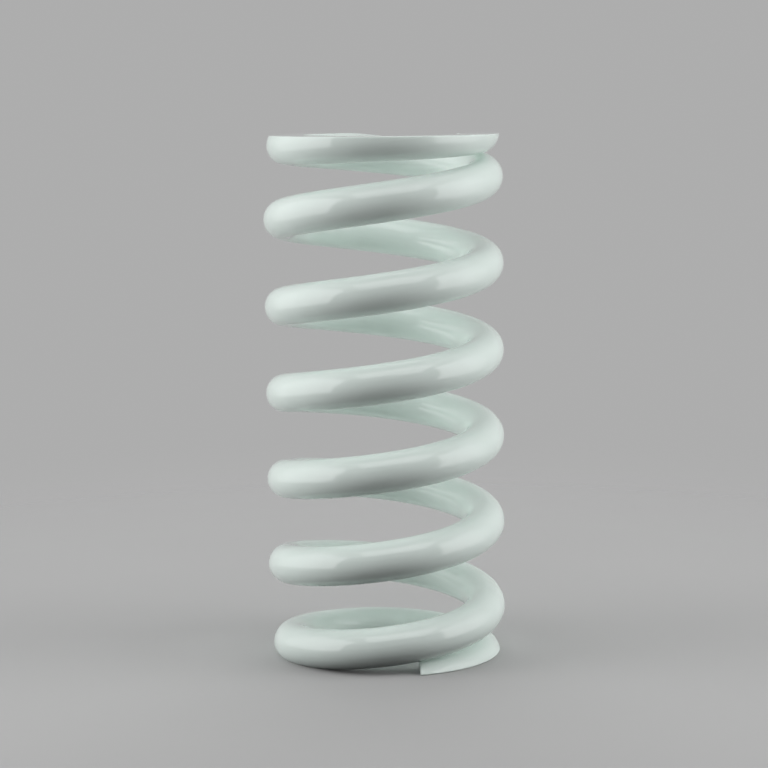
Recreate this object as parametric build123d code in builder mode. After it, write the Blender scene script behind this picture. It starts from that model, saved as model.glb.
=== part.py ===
from build123d import *
import math
import os

# Driving dimensions: millimetres, degrees and turns of the coil
wire_diameter = 15.4
inside_diameter = 63.5
end_inside_diameter = 60.2
free_length = 205.8
total_turns = 7.24
bottom_tip_angle = -71.0
bottom_tip_thickness = 4.4
top_tip_thickness = 7.0
tip_clearance = 0.15

# Where each end coil starts to open and to widen, counted from its own tip
closed_angle = 175.0
opening_angle = 333.0
opening_ease = 2.6
narrow_angle = 290.0
widening_angle = 115.0

# How the wire was cut off, and how closely the centreline is followed
bottom_shear_angle = -16.0
top_shear_angle = 0.0
tail_angle = 80.0
overrun_angle = 16.0
arc_angle = 30.0

wire_radius = wire_diameter / 2
coil_radius = (inside_diameter + wire_diameter) / 2
end_coil_radius = (end_inside_diameter + wire_diameter) / 2
sweep_angle = 360 * total_turns
half_angle = sweep_angle / 2


def opened(angle):
    """Turns' worth of full pitch gained by the opening ramp, this far from the tip."""
    share = min(max((angle - closed_angle) / opening_angle, 0), 1)
    eased = share - (1 - (1 - share) ** (opening_ease + 1)) / (opening_ease + 1)
    beyond = max(angle - closed_angle - opening_angle, 0)
    return (opening_angle * eased + beyond) / 360


# The first turn rises by one wire diameter, so that the tip lies against the next coil.
# The whole wire rises by the free length, less what is ground off at the two tips.
first_turn_rise = wire_diameter + tip_clearance
half_rise = (free_length - bottom_tip_thickness - top_tip_thickness + wire_diameter) / 2
opened_first = opened(360)
opened_half = opened(half_angle)
closed_half = half_angle / 360 - opened_half
active_pitch = (half_rise * (1 - opened_first) - first_turn_rise * closed_half) / (
    opened_half * (1 - opened_first) - opened_first * closed_half
)
closed_pitch = (first_turn_rise - active_pitch * opened_first) / (1 - opened_first)


def rise(angle):
    """Height gained from a tip to this angle past it."""
    return closed_pitch * angle / 360 + (active_pitch - closed_pitch) * opened(angle)


def narrowing(angle):
    """1 in the narrow end coil, easing to 0 in the body, this far from the tip."""
    share = min(max((angle - narrow_angle) / widening_angle, 0), 1)
    return 1 - share * share * (3 - 2 * share)


def centre(angle):
    """Point of the wire's centreline, at this angle past the bottom tip."""
    from_top = sweep_angle - angle
    narrow = narrowing(angle) + narrowing(from_top)
    radius = coil_radius - (coil_radius - end_coil_radius) * narrow
    if angle < half_angle:
        height = bottom_tip_thickness - wire_radius + rise(angle)
    else:
        height = free_length - top_tip_thickness + wire_radius - rise(from_top)
    turned = math.radians(bottom_tip_angle + angle)
    return Vector(radius * math.cos(turned), radius * math.sin(turned), height)


def heading(angle):
    """Direction of the wire at this angle, from the points just before and after it."""
    step = 0.01
    return (centre(angle + step) - centre(angle - step)).normalized()


def wind(start, end, direction):
    """Centreline between two angles, as arcs that each run on from the one before."""
    count = math.ceil(abs(end - start) / arc_angle)
    stops = [start + (end - start) * i / count for i in range(count + 1)]
    for here, there in zip(stops, stops[1:]):
        arc = TangentArc(centre(here), centre(there), tangent=direction)
        direction = arc % 1
    return direction


def shear_plane(angle, turned):
    """Upright plane across the wire at this angle, turned about the wire's centre."""
    along = heading(angle)
    facing = Vector(along.X, along.Y, 0).rotate(Axis.Z, turned)
    return Plane(origin=centre(angle), z_dir=facing)


# The wound wire, apart from its two tails
bottom_join = tail_angle
top_join = sweep_angle - tail_angle
bottom_heading = heading(bottom_join)
with BuildPart() as wound_wire:
    with BuildLine() as wound_line:
        top_heading = wind(bottom_join, top_join, bottom_heading)
    with BuildSketch(Plane(origin=centre(bottom_join), z_dir=bottom_heading)):
        Circle(wire_radius)
    sweep(path=wound_line.line)

# Bottom tail, run on past its tip and cut off aslant there
with BuildPart() as bottom_tail:
    with BuildLine() as bottom_line:
        wind(bottom_join, -overrun_angle, -bottom_heading)
    with BuildSketch(Plane(origin=centre(bottom_join), z_dir=-bottom_heading)):
        Circle(wire_radius)
    sweep(path=bottom_line.line)
    split(bisect_by=shear_plane(0, bottom_shear_angle), keep=Keep.TOP)

# Top tail, cut off the same way
with BuildPart() as top_tail:
    with BuildLine() as top_line:
        wind(top_join, sweep_angle + overrun_angle, top_heading)
    with BuildSketch(Plane(origin=centre(top_join), z_dir=top_heading)):
        Circle(wire_radius)
    sweep(path=top_line.line)
    split(bisect_by=shear_plane(sweep_angle, top_shear_angle), keep=Keep.BOTTOM)

# The spring: one wire, with both ends ground flat and square to the axis
with BuildPart() as coil_spring:
    add(wound_wire.part)
    add(bottom_tail.part)
    add(top_tail.part)
    split(bisect_by=Plane.XY, keep=Keep.TOP)
    split(bisect_by=Plane.XY.offset(free_length), keep=Keep.BOTTOM)

coil_spring.part.label = "coil_spring"
os.makedirs("parts", exist_ok=True)
export_step(coil_spring.part, "parts/coil_spring.step")
print("active pitch", round(active_pitch, 3), "closed pitch", round(closed_pitch, 3))
print("volume", round(coil_spring.part.volume), "faces", len(coil_spring.faces()))
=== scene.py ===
import math

import bpy
from mathutils import Matrix, Vector


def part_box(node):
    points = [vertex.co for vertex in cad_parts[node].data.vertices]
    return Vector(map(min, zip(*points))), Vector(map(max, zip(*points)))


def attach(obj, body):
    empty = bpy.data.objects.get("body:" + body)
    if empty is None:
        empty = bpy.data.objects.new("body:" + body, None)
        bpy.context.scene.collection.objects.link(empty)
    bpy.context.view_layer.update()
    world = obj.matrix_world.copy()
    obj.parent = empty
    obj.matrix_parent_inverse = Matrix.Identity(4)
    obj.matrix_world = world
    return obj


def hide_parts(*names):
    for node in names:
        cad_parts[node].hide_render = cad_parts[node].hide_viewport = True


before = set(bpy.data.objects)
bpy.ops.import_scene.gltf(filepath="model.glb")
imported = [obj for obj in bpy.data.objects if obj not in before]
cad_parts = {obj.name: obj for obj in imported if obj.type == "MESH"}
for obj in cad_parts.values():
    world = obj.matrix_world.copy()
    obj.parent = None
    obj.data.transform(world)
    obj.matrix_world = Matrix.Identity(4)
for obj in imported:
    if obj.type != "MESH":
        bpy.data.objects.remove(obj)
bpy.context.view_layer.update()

low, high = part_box("coil_spring")

# The wire and its winding: metres and degrees
free_length = high.z
wire_radius = 0.0077
coil_radius = (high.x - low.x) / 2 - wire_radius
end_coil_radius = 0.0378
total_turns = 7.24
sweep_angle = 360 * total_turns
half_angle = sweep_angle / 2
bottom_tip_angle = -71.0
bottom_tip_thickness = 0.0044
top_tip_thickness = 0.0070
tip_clearance = 0.00015
closed_angle = 175.0
opening_angle = 333.0
opening_ease = 2.6
narrow_angle = 290.0
widening_angle = 115.0
bottom_shear_angle = -16.0

# The mesh: how finely the wire is followed, how its cut edges are rounded, and how closely
# the points of a ring stand on a ground flat and round its corner, next to the round part
section_step = 2.0
section_points = 60
edge_radius = 0.00045
sharpest_edge_radius = 0.000045
edge_steps = 4
shear_blend_angle = 18.0
flat_density = 0.7
corner_density = 5

# The paint where it is thin and thick, and its surface: cells in a metre of its patches, its
# orange peel and its lengthwise lines, how strong and deep the last two are, and how fast
# a line changes on its way round
paint_thin = (0.757, 0.85, 0.807)
paint_thick = (0.78, 0.87, 0.83)
patches_per_metre = 90
peel_per_metre = 700
peel_strength = 0.02
peel_depth = 0.0002
lines_per_metre = 800
line_strength = 1.0
line_depth = 0.00004
line_change = 0.03

# The camera, as the photograph was taken: lens and sensor in millimetres, the rest in metres
# and radians
camera_lens = 105
camera_sensor = 36
camera_distance = 0.8799
camera_aside = -0.0004
camera_height = 0.2214
camera_pitch = 0.1288
camera_roll = -0.0097

# The floor: solid out to one radius and gone at the other, with a point every few degrees of
# its rim. It throws less light back in front of the spring than behind it, and the change
# lies between two directions from its middle, where -1 is towards the camera and 1 is away.
floor_solid = 0.18
floor_radius = 0.55
rim_step = 5
floor_grey = 0.46
front_bounce = 0.02
back_bounce = 0.5
bounce_start = -0.7
bounce_end = -0.1

# The backdrop
backdrop_grey = 0.42


def opened(angle):
    """Turns' worth of full pitch gained by the opening ramp, this far from the tip."""
    share = min(max((angle - closed_angle) / opening_angle, 0), 1)
    eased = share - (1 - (1 - share) ** (opening_ease + 1)) / (opening_ease + 1)
    beyond = max(angle - closed_angle - opening_angle, 0)
    return (opening_angle * eased + beyond) / 360


# The first turn rises by one wire diameter, so that the tip lies against the next coil.
# The whole wire rises by the free length, less what is ground off at the two tips.
first_turn_rise = 2 * wire_radius + tip_clearance
half_rise = (free_length - bottom_tip_thickness - top_tip_thickness) / 2 + wire_radius
opened_first = opened(360)
opened_half = opened(half_angle)
closed_half = half_angle / 360 - opened_half
active_pitch = (half_rise * (1 - opened_first) - first_turn_rise * closed_half) / (
    opened_half * (1 - opened_first) - opened_first * closed_half
)
closed_pitch = (first_turn_rise - active_pitch * opened_first) / (1 - opened_first)


def rise(angle):
    """Height gained from a tip to this angle past it."""
    return closed_pitch * angle / 360 + (active_pitch - closed_pitch) * opened(angle)


def narrowing(angle):
    """1 in the narrow end coil, easing to 0 in the body, this far from the tip."""
    share = min(max((angle - narrow_angle) / widening_angle, 0), 1)
    return 1 - share * share * (3 - 2 * share)


def centre(angle):
    """Point of the wire's centreline, at this angle past the bottom tip."""
    from_top = sweep_angle - angle
    narrow = narrowing(angle) + narrowing(from_top)
    radius = coil_radius - (coil_radius - end_coil_radius) * narrow
    if angle < half_angle:
        height = bottom_tip_thickness - wire_radius + rise(angle)
    else:
        height = free_length - top_tip_thickness + wire_radius - rise(from_top)
    turned = math.radians(bottom_tip_angle + angle)
    return Vector((radius * math.cos(turned), radius * math.sin(turned), height))


def heading(angle):
    """Direction of the wire at this angle, from the points just before and after it."""
    step = 0.05
    return (centre(angle + step) - centre(angle - step)).normalized()


def section_outline(radius, cut, rounding):
    """Half of a round section cut flat at this depth below its centre, from the flat's middle up.

    Each point is (across, up). The corner beside the flat is rounded, and the points
    crowd there. Without a cut they are evenly spaced round the circle.
    """
    if cut >= radius:
        corner_across = 0.0
        corner_up = -radius
        turn = -math.pi / 2
        rounding = 0.0
    else:
        corner_up = rounding - cut
        corner_across = math.sqrt((radius - rounding) ** 2 - corner_up**2)
        turn = math.atan2(corner_up, corner_across)
    flat_weight = corner_across * flat_density
    corner_weight = rounding * (turn + math.pi / 2) * corner_density
    round_weight = radius * (math.pi / 2 - turn)
    total = flat_weight + corner_weight + round_weight
    count = section_points // 2
    points = []
    for i in range(count + 1):
        reached = total * i / count
        if reached < flat_weight:
            points.append((reached / flat_density, -cut))
        elif reached < flat_weight + corner_weight:
            direction = -math.pi / 2 + (reached - flat_weight) / (rounding * corner_density)
            across = corner_across + rounding * math.cos(direction)
            points.append((across, corner_up + rounding * math.sin(direction)))
        else:
            direction = turn + (reached - flat_weight - corner_weight) / radius
            points.append((radius * math.cos(direction), radius * math.sin(direction)))
    return points


def section(angle, inset=0.0, forward=0.0, slant=0.0):
    """One closed ring of the wire's surface, drawn in and moved along the wire near a tip.

    The slant leans the ring about an upright line, by so many degrees. Every ring starts
    at its lowest point and runs the same way round.
    """
    middle = centre(angle)
    along = heading(angle)
    outward = Vector((middle.x, middle.y, 0)).normalized()
    across = (outward - outward.dot(along) * along).normalized()
    up = across.cross(along)
    if up.z < 0:
        up = -up
    at_bottom = angle < half_angle
    depth = middle.z if at_bottom else free_length - middle.z
    cut = depth / up.z - inset
    side = 1 if at_bottom else -1
    rounding = max(edge_radius - inset, sharpest_edge_radius)
    half = [(x, side * y) for x, y in section_outline(wire_radius - inset, cut, rounding)]
    mirrored = [(-x, y) for x, y in reversed(half[1:-1])]
    lean = math.tan(math.radians(slant))
    ring = []
    for x, y in half + mirrored:
        point = middle + across * x + up * y + along * (forward + lean * x)
        point.z = min(max(point.z, 0), free_length)
        ring.append(point)
    if not at_bottom:
        ring.reverse()
        start = section_points // 2 - 1
        ring = ring[start:] + ring[:start]
    return ring


def tip_rings(angle, way, slant):
    """Rings that round a tip's edge over and close in on its cut face."""
    rings = []
    for i in range(1, edge_steps + 1):
        turn = math.pi / 2 * i / edge_steps
        inset = edge_radius * (1 - math.cos(turn))
        forward = -edge_radius * (1 - math.sin(turn))
        rings.append(section(angle, inset, way * forward, slant))
    return rings


def wire_rings():
    """All rings of the wire, from the bottom tip's cut face to the top tip's."""
    count = round(sweep_angle / section_step)
    rings = list(reversed(tip_rings(0, -1, bottom_shear_angle)))
    for i in range(count + 1):
        angle = sweep_angle * i / count
        near = max(0, 1 - angle / shear_blend_angle)
        slant = bottom_shear_angle * near * near * (3 - 2 * near)
        forward = 0.0
        if i == 0:
            forward = edge_radius
        if i == count:
            forward = -edge_radius
        rings.append(section(angle, 0, forward, slant))
    return rings + tip_rings(sweep_angle, 1, 0)


def wire_mesh():
    """The whole wire as one closed mesh, with each tip's cut face filled to its middle."""
    rings = wire_rings()
    points = [point for ring in rings for point in ring]
    faces = []
    for row in range(len(rings) - 1):
        for i in range(section_points):
            j = (i + 1) % section_points
            here, there = row * section_points, (row + 1) * section_points
            faces.append((here + i, there + i, there + j, here + j))
    for row, flip in ((0, False), (len(rings) - 1, True)):
        points.append(sum(rings[row], Vector()) / section_points)
        middle = len(points) - 1
        for i in range(section_points):
            j = (i + 1) % section_points
            corners = (row * section_points + i, row * section_points + j, middle)
            faces.append(corners[::-1] if flip else corners)
    mesh = bpy.data.meshes.new("painted_wire")
    mesh.from_pydata(points, [], faces)
    mesh.shade_smooth()
    return mesh


def maths(tree, operation, *values):
    """Result of a maths node, each of whose inputs is another node's output or a number."""
    made = tree.nodes.new("ShaderNodeMath")
    made.operation = operation
    for value, socket in zip(values, made.inputs):
        if isinstance(value, bpy.types.NodeSocket):
            tree.links.new(value, socket)
        else:
            socket.default_value = value
    return made.outputs["Value"]


def vector_maths(tree, operation, vector, other=None):
    """A vector maths node, with a second vector of plain numbers where it needs one."""
    made = tree.nodes.new("ShaderNodeVectorMath")
    made.operation = operation
    tree.links.new(vector, made.inputs[0])
    if other:
        made.inputs[1].default_value = other
    return made


def length(tree, vector):
    """Length of a vector."""
    return vector_maths(tree, "LENGTH", vector).outputs["Value"]


def coordinates(tree, vector):
    """The X, Y and Z of a vector."""
    made = tree.nodes.new("ShaderNodeSeparateXYZ")
    tree.links.new(vector, made.inputs["Vector"])
    return made.outputs


def ranged(tree, value, start, end, first, last, shape="SMOOTHSTEP"):
    """A value's way from start to end, turned into the way from first to last."""
    made = tree.nodes.new("ShaderNodeMapRange")
    made.interpolation_type = shape
    made.inputs["From Min"].default_value = start
    made.inputs["From Max"].default_value = end
    made.inputs["To Min"].default_value = first
    made.inputs["To Max"].default_value = last
    tree.links.new(value, made.inputs["Value"])
    return made.outputs["Result"]


def noise(tree, vector, cells, detail):
    """A noise node with so many cells in a metre."""
    made = tree.nodes.new("ShaderNodeTexNoise")
    made.inputs["Scale"].default_value = cells
    made.inputs["Detail"].default_value = detail
    tree.links.new(vector, made.inputs["Vector"])
    return made


def bump(tree, height, strength, depth):
    """A bump node under this height."""
    made = tree.nodes.new("ShaderNodeBump")
    made.inputs["Strength"].default_value = strength
    made.inputs["Distance"].default_value = depth
    tree.links.new(height, made.inputs["Height"])
    return made


def drawn_lines(tree, place):
    """Height of the faint lines that run along the wire, as helices of the body's pitch."""
    spot = coordinates(tree, place)
    climb = maths(tree, "MULTIPLY", spot["Z"], 2 * math.pi / active_pitch)
    around = maths(tree, "ARCTAN2", spot["Y"], spot["X"])
    phase = maths(tree, "SUBTRACT", climb, around)
    helix = tree.nodes.new("ShaderNodeCombineXYZ")
    for wave, socket in (("COSINE", "X"), ("SINE", "Y")):
        swing = maths(tree, "MULTIPLY", maths(tree, wave, phase), active_pitch / (2 * math.pi))
        tree.links.new(swing, helix.inputs[socket])
    flattened = vector_maths(tree, "MULTIPLY", place, (1, 1, 0)).outputs["Vector"]
    tree.links.new(length(tree, flattened), helix.inputs["Z"])
    lines = noise(tree, helix.outputs["Vector"], lines_per_metre, 1)
    lines.noise_dimensions = "4D"
    tree.links.new(maths(tree, "MULTIPLY", spot["X"], line_change), lines.inputs["W"])
    return lines.outputs["Fac"]


def paint_material():
    """Gloss paint over a round steel wire: pale green-white under a clear surface."""
    material = bpy.data.materials.new("paint")
    material.use_nodes = True
    tree = material.node_tree
    shader = tree.nodes["Principled BSDF"]
    shader.inputs["Roughness"].default_value = 0.5
    shader.inputs["Specular IOR Level"].default_value = 0.0
    shader.inputs["Coat Weight"].default_value = 1.0
    shader.inputs["Coat Roughness"].default_value = 0.03
    shader.inputs["Coat IOR"].default_value = 1.6
    place = tree.nodes.new("ShaderNodeTexCoord").outputs["Object"]

    # Slightly thicker and thinner patches of paint, about a centimetre across
    patches = noise(tree, place, patches_per_metre, 3)
    tone = tree.nodes.new("ShaderNodeValToRGB")
    tone.color_ramp.elements[0].position = 0.3
    tone.color_ramp.elements[0].color = (*paint_thin, 1)
    tone.color_ramp.elements[1].position = 0.7
    tone.color_ramp.elements[1].color = (*paint_thick, 1)
    tree.links.new(patches.outputs["Fac"], tone.inputs["Fac"])
    tree.links.new(tone.outputs["Color"], shader.inputs["Base Color"])

    # The fine orange peel of a sprayed surface, and the wire's own lines under it
    peel = noise(tree, place, peel_per_metre, 2)
    peeled = bump(tree, peel.outputs["Fac"], peel_strength, peel_depth)
    lined = bump(tree, drawn_lines(tree, place), line_strength, line_depth)
    tree.links.new(peeled.outputs["Normal"], lined.inputs["Normal"])
    tree.links.new(lined.outputs["Normal"], shader.inputs["Normal"])
    tree.links.new(lined.outputs["Normal"], shader.inputs["Coat Normal"])
    return material


def seen_rays(tree):
    """1 for rays of the eye, of gloss and of glass, and 0 for those that carry light."""
    rays = tree.nodes.new("ShaderNodeLightPath").outputs
    seen = maths(tree, "MAXIMUM", rays["Is Camera Ray"], rays["Is Glossy Ray"])
    return maths(tree, "MAXIMUM", seen, rays["Is Transmission Ray"])


def floor_material():
    """Matt pale grey round the object, which fades out into the backdrop all round."""
    material = bpy.data.materials.new("floor")
    material.use_nodes = True
    tree = material.node_tree
    tree.nodes.clear()
    place = tree.nodes.new("ShaderNodeTexCoord").outputs["Object"]
    direction = vector_maths(tree, "NORMALIZE", place).outputs["Vector"]
    away = coordinates(tree, direction)["Y"]
    bounce = ranged(tree, away, bounce_start, bounce_end, front_bounce, back_bounce)
    colour = tree.nodes.new("ShaderNodeMix")
    colour.data_type = "RGBA"
    tree.links.new(bounce, colour.inputs["A"])
    colour.inputs["B"].default_value = (floor_grey, floor_grey, floor_grey, 1)
    tree.links.new(seen_rays(tree), colour.inputs["Factor"])
    matt = tree.nodes.new("ShaderNodeBsdfDiffuse")
    tree.links.new(colour.outputs["Result"], matt.inputs["Color"])
    clear = tree.nodes.new("ShaderNodeBsdfTransparent")
    blend = tree.nodes.new("ShaderNodeMixShader")
    fade = ranged(tree, length(tree, place), floor_solid, floor_radius, 0, 1)
    tree.links.new(fade, blend.inputs["Fac"])
    tree.links.new(matt.outputs["BSDF"], blend.inputs[1])
    tree.links.new(clear.outputs["BSDF"], blend.inputs[2])
    output = tree.nodes.new("ShaderNodeOutputMaterial")
    tree.links.new(blend.outputs["Shader"], output.inputs["Surface"])
    return material


def soft_box(name, azimuth, elevation, distance, width, height, glows, heart=0.0, upright=False,
             mirrored=True):
    """A rectangular soft box that faces the spring, or stands upright beside it.

    The azimuth is 0 towards the camera and grows towards the photograph's right. The two
    sides glow by so much, the one with the smaller azimuth first, and the heart is a round
    glow in the middle on top of that. A box that isn't mirrored only fills: the paint's
    gloss doesn't show it.
    """
    turned = math.radians(azimuth)
    raised = math.radians(elevation)
    level = math.cos(raised)
    ahead = Vector((math.sin(turned) * level, -math.cos(turned) * level, math.sin(raised)))
    lamp = bpy.data.lights.new(name, "AREA")
    lamp.shape = "RECTANGLE"
    lamp.size = width
    lamp.size_y = height
    lamp.energy = math.pi * width * height
    lamp.use_nodes = True
    tree = lamp.node_tree
    place = tree.nodes.new("ShaderNodeTexCoord").outputs["UV"]
    side = ranged(tree, coordinates(tree, place)["X"], 0, 1, *glows, shape="LINEAR")
    centred = vector_maths(tree, "SUBTRACT", place, (0.5, 0.5, 0)).outputs["Vector"]
    middle = ranged(tree, length(tree, centred), 0, 0.5, heart, 0)
    tree.links.new(maths(tree, "ADD", side, middle), tree.nodes["Emission"].inputs["Strength"])
    box = bpy.data.objects.new(name, lamp)
    box.location = Vector((0, 0, free_length / 2)) + ahead * distance
    facing = Vector((ahead.x, ahead.y, 0)) if upright else ahead
    box.rotation_euler = facing.to_track_quat("Z", "Y").to_euler()
    box.visible_camera = False
    box.visible_glossy = mirrored
    bpy.context.scene.collection.objects.link(box)


def backdrop_world():
    """An even grey for the eye and for reflections, which casts no light of its own."""
    world = bpy.data.worlds.new("world")
    world.use_nodes = True
    tree = world.node_tree
    background = tree.nodes["Background"]
    background.inputs["Color"].default_value = (backdrop_grey, backdrop_grey, backdrop_grey, 1)
    tree.links.new(seen_rays(tree), background.inputs["Strength"])
    return world


# The spring
spring = bpy.data.objects.new("painted_wire", wire_mesh())
bpy.context.scene.collection.objects.link(spring)
spring.data.materials.append(paint_material())
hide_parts("coil_spring")
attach(spring, "root")

# The camera
camera_data = bpy.data.cameras.new("camera")
camera_data.lens = camera_lens
camera_data.sensor_width = camera_sensor
camera = bpy.data.objects.new("camera", camera_data)
tilt = Matrix.Rotation(math.pi / 2 - camera_pitch, 4, "X") @ Matrix.Rotation(camera_roll, 4, "Z")
camera.matrix_world = Matrix.Translation((camera_aside, -camera_distance, camera_height)) @ tilt
bpy.context.scene.collection.objects.link(camera)
bpy.context.scene.camera = camera

# The floor: a round mat that is solid under the object and gone at its rim
rim = [math.radians(degree) for degree in range(0, 360, rim_step)]
floor_points = [(floor_radius * math.cos(turn), floor_radius * math.sin(turn), 0) for turn in rim]
floor_mesh = bpy.data.meshes.new("floor")
floor_mesh.from_pydata(floor_points, [], [range(len(rim))])
floor_mesh.materials.append(floor_material())
floor = bpy.data.objects.new("floor", floor_mesh)
bpy.context.scene.collection.objects.link(floor)

# The studio: a tall box on each side, brighter near the camera, a round glow overhead, a
# box high in front, and three smaller ones that only fill, from both sides and from behind.
# Each has its azimuth and elevation, distance, width and height, and the glow of its sides.
soft_box("right_box", 81, 21.8, 0.97, 1.04, 1.30, (2.0, 0.3), upright=True)
soft_box("left_box", -89.5, 21.8, 0.97, 1.43, 1.30, (0.3, 2.0), upright=True)
soft_box("over_box", 180, 80, 1.00, 1.20, 1.00, (0.2, 0.2), heart=1.4)
soft_box("front_box", 0, 60, 1.00, 1.00, 0.60, (1.45, 1.45))
soft_box("right_fill", 83, 15, 0.90, 0.50, 0.60, (3.6, 3.6), mirrored=False)
soft_box("left_fill", -80, 14, 0.90, 0.50, 0.60, (3.2, 3.2), mirrored=False)
soft_box("back_fill", 180, 12, 1.00, 1.20, 0.80, (2.55, 2.55), mirrored=False)

bpy.context.scene.world = backdrop_world()
bpy.context.scene.view_settings.view_transform = "Standard"
